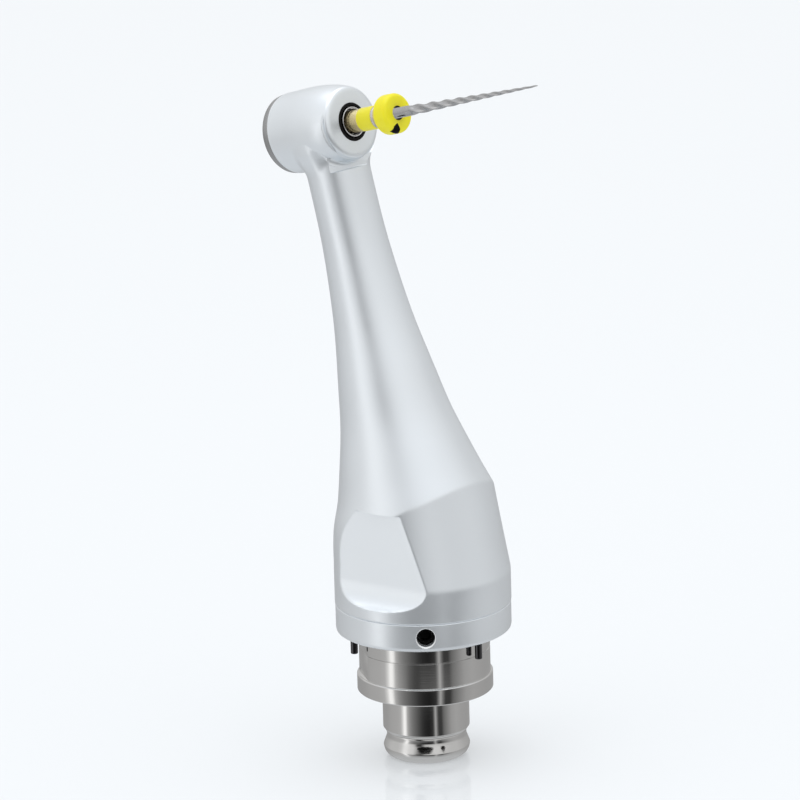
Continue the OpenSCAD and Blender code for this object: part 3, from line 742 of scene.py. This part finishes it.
def metal(name, color, rough, vary=0.03, rvary=0.04, scale=220.0, grain=0.0, grain_scale=9000.0, stretch=None, metallic=1.0):
    m, nt, b = make(name)
    f = noise(nt, scale, 4.0, 0.55)
    nt.links.new(ramp(nt, f, [(0.3, rgb(color, 1 - vary)), (0.7, rgb(color, 1 + vary))]), b.inputs["Base Color"])
    nt.links.new(maprange(nt, f, max(rough - rvary, 0.02), rough + rvary), b.inputs["Roughness"])
    b.inputs["Metallic"].default_value = metallic
    if grain:
        g = noise(nt, grain_scale, 2.0, 0.5, stretch)
        bump(nt, b, g, grain, 0.00002)
    return m


satin = metal("satin_metal", (0.835, 0.873, 0.905), 0.34, 0.012, 0.03, 160.0, 0.25, 14000.0, None, 0.72)
cap_m = metal("cap_metal", (0.40, 0.405, 0.41), 0.26, 0.03, 0.04, 300.0, 0.10, 12000.0)
sleeve_m = metal("sleeve_steel", (0.62, 0.615, 0.605), 0.085, 0.02, 0.02, 200.0, 0.06, 260.0, (1, 1, 60))
black_m, _nt, _b = make("black_oxide")
_f = noise(_nt, 900, 3)
_nt.links.new(ramp(_nt, _f, [(0.3, (0.002, 0.002, 0.002, 1)), (0.7, (0.005, 0.005, 0.005, 1))]), _b.inputs["Base Color"])
_b.inputs["Roughness"].default_value = 0.5
_b.inputs["Specular IOR Level"].default_value = 0.08
pin_m = metal("pin_steel", (0.085, 0.085, 0.09), 0.07, 0.03, 0.02, 600.0)
brass_gear = metal("gear_brass", (0.80, 0.62, 0.30), 0.3, 0.05, 0.05, 500.0, 0.1)
spring_m = metal("spring_steel", (0.55, 0.56, 0.58), 0.22, 0.04, 0.05, 700.0)
bearing_m = metal("bearing_steel", (0.64, 0.64, 0.66), 0.18, 0.03, 0.04, 500.0)
ball_m = metal("ball_steel", (0.8, 0.8, 0.82), 0.06, 0.01, 0.02, 500.0)
spindle_m = metal("spindle_steel", (0.72, 0.71, 0.70), 0.14, 0.03, 0.04, 600.0, 0.08, 700.0)
brass_m = metal("shank_brass", (0.80, 0.66, 0.36), 0.24, 0.04, 0.05, 500.0, 0.1, 900.0)
niti_m = metal("nickel_titanium", (0.47, 0.47, 0.475), 0.2, 0.05, 0.06, 900.0, 0.15, 5000.0)

# painted highlight: a pale, mostly diffuse metal for the collar's screw-hole chamfer, standing in for the light it
# catches
chamfer_highlight_paint = metal("painted_chamfer_highlight", (0.93, 0.94, 0.945), 0.4, 0.02, 0.03, 500.0, 0.0, 9000.0, None, 0.35)

rubber_m, _nt, _b = make("seal_rubber")
_f = noise(_nt, 1200, 3)
_nt.links.new(ramp(_nt, _f, [(0.3, (0.003, 0.003, 0.003, 1)), (0.7, (0.006, 0.005, 0.005, 1))]), _b.inputs["Base Color"])
_nt.links.new(maprange(_nt, _f, 0.42, 0.55), _b.inputs["Roughness"])
_b.inputs["Specular IOR Level"].default_value = 0.12

yel_m, _nt, _b = make("yellow_enamel")
_f = noise(_nt, 700, 3)
_nt.links.new(ramp(_nt, _f, [(0.3, (0.88, 0.80, 0.02, 1)), (0.7, (0.93, 0.85, 0.03, 1))]), _b.inputs["Base Color"])
_nt.links.new(maprange(_nt, _f, 0.3, 0.4), _b.inputs["Roughness"])
_b.inputs["Specular IOR Level"].default_value = 0.5

sil_m, _nt, _b = make("yellow_silicone")
_f = noise(_nt, 600, 3)
_nt.links.new(ramp(_nt, _f, [(0.3, (0.91, 0.82, 0.008, 1)), (0.7, (0.95, 0.87, 0.014, 1))]), _b.inputs["Base Color"])
_nt.links.new(maprange(_nt, _f, 0.36, 0.46), _b.inputs["Roughness"])
_b.inputs["Subsurface Weight"].default_value = 0.15
_b.inputs["Subsurface Radius"].default_value = (1.0, 0.8, 0.15)
_b.inputs["Subsurface Scale"].default_value = 0.0004

MATS = {"satin_metal": satin, "cap_metal": cap_m, "sleeve_steel": sleeve_m, "black_oxide": black_m, "pin_steel": pin_m, "gear_brass": brass_gear,
        "spring_steel": spring_m, "bearing_steel": bearing_m, "seal_rubber": rubber_m, "ball_steel": ball_m, "spindle_steel": spindle_m,
        "shank_brass": brass_m, "yellow_enamel": yel_m, "nickel_titanium": niti_m, "yellow_silicone": sil_m, "mark_black": black_m}
for piece, body, nd, slot in PIECES:
    piece.data.materials.clear()
    piece.data.materials.append(MATS[slot])
# painted shade: the faces inside the stop's hole get the black mark material, standing in for the shadow deep in the
# hole
stop_skin.data.materials.append(MATS["mark_black"])
for poly in stop_skin.data.polygons:
    q = np.array(poly.center) / MM - F0
    if np.linalg.norm(q - A * float(q @ A)) < 0.72:
        poly.material_index = 1
# painted highlight: the chamfer round the screw hole gets a paler, less metallic material that stands in for the light
# it catches
collar_skin.data.materials.append(chamfer_highlight_paint)
for poly in collar_skin.data.polygons:
    q = np.array(poly.center) / MM - scr_at
    l = float(q @ scr_dir)
    if l > 8.8 and 0.9 < np.linalg.norm(q - scr_dir * l) < 1.2 and abs(float(np.array(poly.normal) @ scr_dir)) < 0.9:
        poly.material_index = 1
slot_of = {s["node"]: s.get("material_slot") for s in frame["record"].get("subparts", [])}
for name, o in frame["nodes"].items():
    mat = MATS.get(slot_of.get(name), bearing_m)
    if not o.data.materials:
        o.data.materials.append(mat)
    for i in range(len(o.data.materials)):
        o.data.materials[i] = mat
    o.data.polygons.foreach_set("use_smooth", np.ones(len(o.data.polygons), bool))

band_skin.visible_glossy = False
shank_skin.visible_glossy = False
stop_skin.visible_glossy = False

# ------------------------------------------------------------------
# stage: pale floor, studio surround, camera
# ------------------------------------------------------------------
floor_me = bpy.data.meshes.new("floor")
_n = 96
_a = np.linspace(0, 2 * math.pi, _n, endpoint=False)
_v = [(0, 0, -0.00002)] + [(2.6 * math.cos(a), 2.6 * math.sin(a), -0.00002) for a in _a]
floor_me.from_pydata(_v, [], [(0, 1 + i, 1 + (i + 1) % _n) for i in range(_n)])
floor_ob = bpy.data.objects.new("floor", floor_me)
bpy.context.scene.collection.objects.link(floor_ob)
fm, nt, b = make("floor")
b.inputs["Base Color"].default_value = (0.60, 0.622, 0.638, 1)
b.inputs["Roughness"].default_value = 0.05
b.inputs["Specular IOR Level"].default_value = 0.5
b.inputs["Emission Color"].default_value = (0.95, 0.975, 1.0, 1)
b.inputs["Emission Strength"].default_value = 0.285
geo = nt.nodes.new("ShaderNodeNewGeometry")
tr = nt.nodes.new("ShaderNodeBsdfTransparent")
mx = nt.nodes.new("ShaderNodeMixShader")
out = nt.nodes["Material Output"]
nt.links.new(geo.outputs["Backfacing"], mx.inputs["Fac"])
nt.links.new(b.outputs["BSDF"], mx.inputs[1])
nt.links.new(tr.outputs["BSDF"], mx.inputs[2])
nt.links.new(mx.outputs["Shader"], out.inputs["Surface"])
floor_me.materials.append(fm)
floor_ob.visible_glossy = False

# two small black cards in front of the snap foot, one either side of a gap: seen only as dark patches in the foot's polish
card_m, nt, b = make("card")
_f = noise(nt, 200, 2)
nt.links.new(ramp(nt, _f, [(0.3, (0.002, 0.002, 0.002, 1)), (0.7, (0.004, 0.004, 0.004, 1))]), b.inputs["Base Color"])
b.inputs["Roughness"].default_value = 0.9
b.inputs["Specular IOR Level"].default_value = 0.0
# only rays that start at the foot's distance meet the cards, so the floor doesn't mirror them
lpn, gn = nt.nodes.new("ShaderNodeLightPath"), nt.nodes.new("ShaderNodeNewGeometry")
_k = gn.outputs["Backfacing"]
for op, limit in (("GREATER_THAN", 0.0258), ("LESS_THAN", 0.0318)):
    c = nt.nodes.new("ShaderNodeMath")
    c.operation = op
    nt.links.new(lpn.outputs["Ray Length"], c.inputs[0])
    c.inputs[1].default_value = limit
    m = nt.nodes.new("ShaderNodeMath")
    m.operation = "MULTIPLY"
    nt.links.new(_k, m.inputs[0])
    nt.links.new(c.outputs["Value"], m.inputs[1])
    _k = m.outputs["Value"]
tr, mx = nt.nodes.new("ShaderNodeBsdfTransparent"), nt.nodes.new("ShaderNodeMixShader")
nt.links.new(_k, mx.inputs["Fac"])
nt.links.new(tr.outputs["BSDF"], mx.inputs[1])
nt.links.new(b.outputs["BSDF"], mx.inputs[2])
nt.links.new(mx.outputs["Shader"], nt.nodes["Material Output"].inputs["Surface"])
for name, az, half, zc, zh in (("card_wide", -53, 25, 15.0, 4.6), ("card_narrow", -4, 7.5, 13.5, 3.4)):
    me = bpy.data.meshes.new(name)
    vs = []
    for q in np.linspace(0, 2 * math.pi, 48, endpoint=False):
        a = math.radians(az + half * math.cos(q))
        vs.append((0.03 * math.cos(a), 0.03 * math.sin(a), (zc + zh * math.sin(q)) * MM))
    a = math.radians(az)
    vs.append((0.03 * math.cos(a), 0.03 * math.sin(a), zc * MM))
    me.from_pydata(vs, [], [(48, i, (i + 1) % 48) for i in range(48)])
    me.materials.append(card_m)
    card = bpy.data.objects.new(name, me)
    bpy.context.scene.collection.objects.link(card)
    card.visible_camera = card.visible_diffuse = card.visible_shadow = card.visible_transmission = False

# camera: the photograph's viewing angle
PHI = math.radians(46.9)
EL, ROLL = math.radians(15.376), math.radians(-1.5648)
target = (-1.814 * np.array([math.sin(PHI), math.cos(PHI), 0]) + 37.677 * Z) * MM
toward = np.array([math.cos(PHI), -math.sin(PHI), 0])
backv = toward * math.cos(EL) + Z * math.sin(EL)
right = np.array([math.sin(PHI), math.cos(PHI), 0])
up = np.cross(backv, right)
r2 = math.cos(ROLL) * right + math.sin(ROLL) * up
u2 = -math.sin(ROLL) * right + math.cos(ROLL) * up
cam_data = bpy.data.cameras.new("camera")
cam_data.sensor_width = 36.0
cam_data.lens = 6893.33 * 36.0 / 800.0
cam_data.clip_start, cam_data.clip_end = 0.01, 20.0
cam = bpy.data.objects.new("camera", cam_data)
bpy.context.scene.collection.objects.link(cam)
rot = Matrix(((r2[0], u2[0], backv[0]), (r2[1], u2[1], backv[1]), (r2[2], u2[2], backv[2])))
cam.matrix_world = Matrix.Translation(Vector(target + backv * 0.700)) @ rot.to_4x4()
bpy.context.scene.camera = cam

# surround: a softly graded studio, brighter overhead, with two strip lights and one dark flag, fixed in the part's frame
world = bpy.data.worlds.new("studio")
bpy.context.scene.world = world
world.use_nodes = True
wn = world.node_tree
bg = wn.nodes["Background"]
tc = wn.nodes.new("ShaderNodeTexCoord")


def wdot(vec):
    d = wn.nodes.new("ShaderNodeVectorMath")
    d.operation = "DOT_PRODUCT"
    wn.links.new(tc.outputs["Generated"], d.inputs[0])
    d.inputs[1].default_value = tuple(vec)
    return d.outputs["Value"]


at = wn.nodes.new("ShaderNodeMath")
at.operation = "ARCTAN2"
wn.links.new(wdot(right), at.inputs[0])
wn.links.new(wdot(toward), at.inputs[1])
fac = maprange(wn, at.outputs["Value"], 0.0, 1.0, -math.pi, math.pi)
# levels round the compass, for rays that run down, level and up
LOW = [(-180, .36), (-150, .42), (-128, .48), (-108, .55), (-85, .58), (-74, .64), (-68, .95), (-63, 1.45), (-58, 1.35), (-53, .62), (-46, .40), (-38, .27),
       (-30, .19), (-22, .12), (-12, .055), (-4, .03), (6, .02), (12, .03), (18, .05), (22, .30), (25, .62), (28, .30), (33, .06), (42, .06),
       (48, .20), (60, .34), (72, .48), (88, .54), (115, .50), (150, .44), (180, .36)]
MID = [(-180, .66), (-140, .62), (-110, .74), (-88, .74), (-76, .84), (-66, 1.2), (-58, 1.2), (-50, .98), (-40, .86), (-34, .56), (-28, .09), (-18, .04),
       (-12, .26), (-5, .66), (10, .78), (25, .85), (45, .72), (70, .72), (90, .72), (118, .60), (150, .60), (180, .66)]
HIGH = [(-180, .80), (-120, .80), (-90, .90), (-60, 1.05), (-42, .95), (-32, .75), (-22, .50), (-12, .60), (0, .85), (20, .95), (40, .95), (60, .90), (90, .80),
        (120, .70), (180, .80)]
TOPV = 1.8
env = [ramp(wn, fac, [((d + 180) / 360, (v / TOPV, v / TOPV, v / TOPV, 1)) for d, v in table]) for table in (LOW, MID, HIGH)]
el = wdot(Z)
midf = maprange(wn, el, 0.0, 1.0, -0.21, 0.06)
hif = maprange(wn, el, 0.0, 1.0, 0.26, 0.42)
upf = maprange(wn, el, 0.0, 1.0, 0.52, 0.80)
dnf = maprange(wn, el, 1.0, 0.0, -0.75, -0.42)


def wmix(fac_, a_, b_):
    m = wn.nodes.new("ShaderNodeMix")
    m.data_type = "RGBA"
    wn.links.new(fac_, m.inputs["Factor"])
    for k_, v_ in (("A", a_), ("B", b_)):
        if isinstance(v_, tuple):
            m.inputs[k_].default_value = tuple(x / TOPV for x in v_) + (1,)
        else:
            wn.links.new(v_, m.inputs[k_])
    return m.outputs["Result"]


lit = wmix(hif, wmix(midf, env[0], env[1]), env[2])
lit = wmix(upf, lit, (0.95, 0.97, 1.0))
lit = wmix(dnf, lit, (0.66, 0.675, 0.69))
lp = wn.nodes.new("ShaderNodeLightPath")
lit = wmix(lp.outputs["Is Camera Ray"], lit, (0.915, 0.945, 0.97))
wn.links.new(lit, bg.inputs["Color"])
bg.inputs["Strength"].default_value = TOPV


def area(name, loc, aim, size, power, color=(1, 1, 1)):
    d = bpy.data.lights.new(name, "AREA")
    d.shape = "RECTANGLE"
    d.size, d.size_y = size
    d.energy = power
    d.color = color
    o = bpy.data.objects.new(name, d)
    bpy.context.scene.collection.objects.link(o)
    o.location = loc
    o.rotation_mode = "QUATERNION"
    o.rotation_quaternion = (Vector(aim) - Vector(loc)).to_track_quat("-Z", "Y")
    return o


top = area("overhead", (-0.05, 0.05, 0.75), (0, 0, 0.03), (0.7, 0.7), 1.6)

scene = bpy.context.scene
scene.view_settings.view_transform = "Standard"
scene.view_settings.look = "None"
scene.view_settings.exposure = 0.0
scene.view_settings.gamma = 1.0
